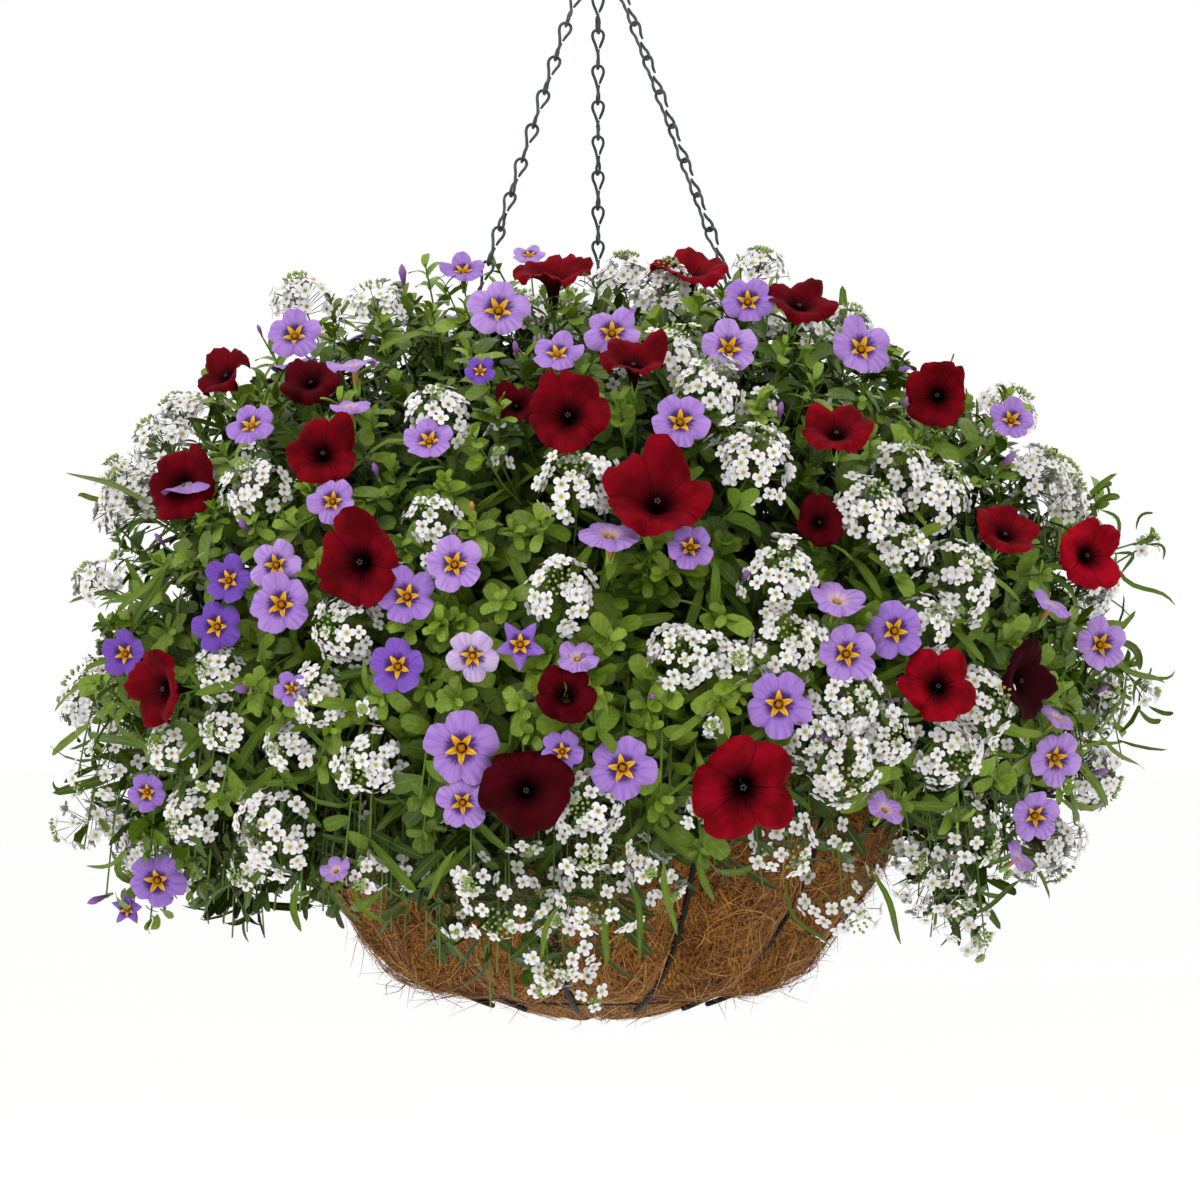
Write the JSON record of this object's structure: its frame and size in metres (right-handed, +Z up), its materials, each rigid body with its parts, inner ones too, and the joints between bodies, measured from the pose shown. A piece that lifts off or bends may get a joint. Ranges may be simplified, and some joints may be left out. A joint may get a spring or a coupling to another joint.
{
  "type": "flowering hanging basket",
  "caption": "Round black wire hanging basket lined with coir, on a three-chain hanger, full of crimson petunias, lavender calibrachoa and white alyssum.",
  "frame": {"origin": "the seat inside the crook of the hook, where the basket hangs on its support", "axes": "+Z up along the hanging line; the front of the planting faces -Y; +X to the right seen from the front"},
  "size_m": [0.5303, 0.5409, 0.6195],
  "materials": {
    "black_wire": "satin",
    "chain_steel": "satin",
    "coir": "matte",
    "soil": "matte",
    "stems": "matte",
    "leaves": "matte",
    "petals": "matte"
  },
  "bodies": {
    "hanger": {"hanger_hook": "black_wire"},
    "basket": {"alyssum_back_foliage": "leaves", "alyssum_back_stems": "stems", "alyssum_front_foliage": "leaves", "alyssum_front_stems": "stems", "base_ring": "black_wire", "calibrachoa_back_foliage": "leaves", "calibrachoa_back_stems": "stems", "calibrachoa_right_foliage": "leaves", "calibrachoa_right_stems": "stems", "chain_back": "chain_steel", "chain_left": "chain_steel", "chain_right": "chain_steel", "coir_liner": "coir", "eye_link_back": "chain_steel", "eye_link_left": "chain_steel", "eye_link_right": "chain_steel", "middle_hoop": "black_wire", "petunia_bloom_01": "petals", "petunia_bloom_02": "petals", "petunia_bloom_03": "petals", "petunia_bloom_04": "petals", "petunia_bloom_05": "petals", "petunia_bloom_06": "petals", "petunia_bloom_07": "petals", "petunia_bloom_08": "petals", "petunia_bloom_09": "petals", "petunia_bloom_10": "petals", "petunia_bloom_11": "petals", "petunia_bloom_12": "petals", "petunia_bloom_13": "petals", "petunia_bloom_14": "petals", "petunia_bloom_15": "petals", "petunia_bloom_16": "petals", "petunia_bloom_17": "petals", "petunia_bloom_18": "petals", "petunia_bloom_19": "petals", "petunia_bloom_20": "petals", "petunia_left_foliage": "leaves", "petunia_left_stems": "stems", "petunia_right_foliage": "leaves", "petunia_right_stems": "stems", "potting_soil": "soil", "rib_01": "black_wire", "rib_02": "black_wire", "rib_03": "black_wire", "rib_04": "black_wire", "rib_05": "black_wire", "rib_06": "black_wire", "rib_07": "black_wire", "rib_08": "black_wire", "rib_09": "black_wire", "rib_10": "black_wire", "rib_11": "black_wire", "rib_12": "black_wire", "rim_link_back": "chain_steel", "rim_link_left": "chain_steel", "rim_link_right": "chain_steel", "rim_ring": "black_wire"}
  },
  "joints": [
    {"name": "basket_swing", "type": "hinge", "parent": "hanger", "child": "basket", "pos_m": [0, 0, -0.05778], "axis": [0, 1, 0], "range_deg": [-25, 25]}
  ]
}
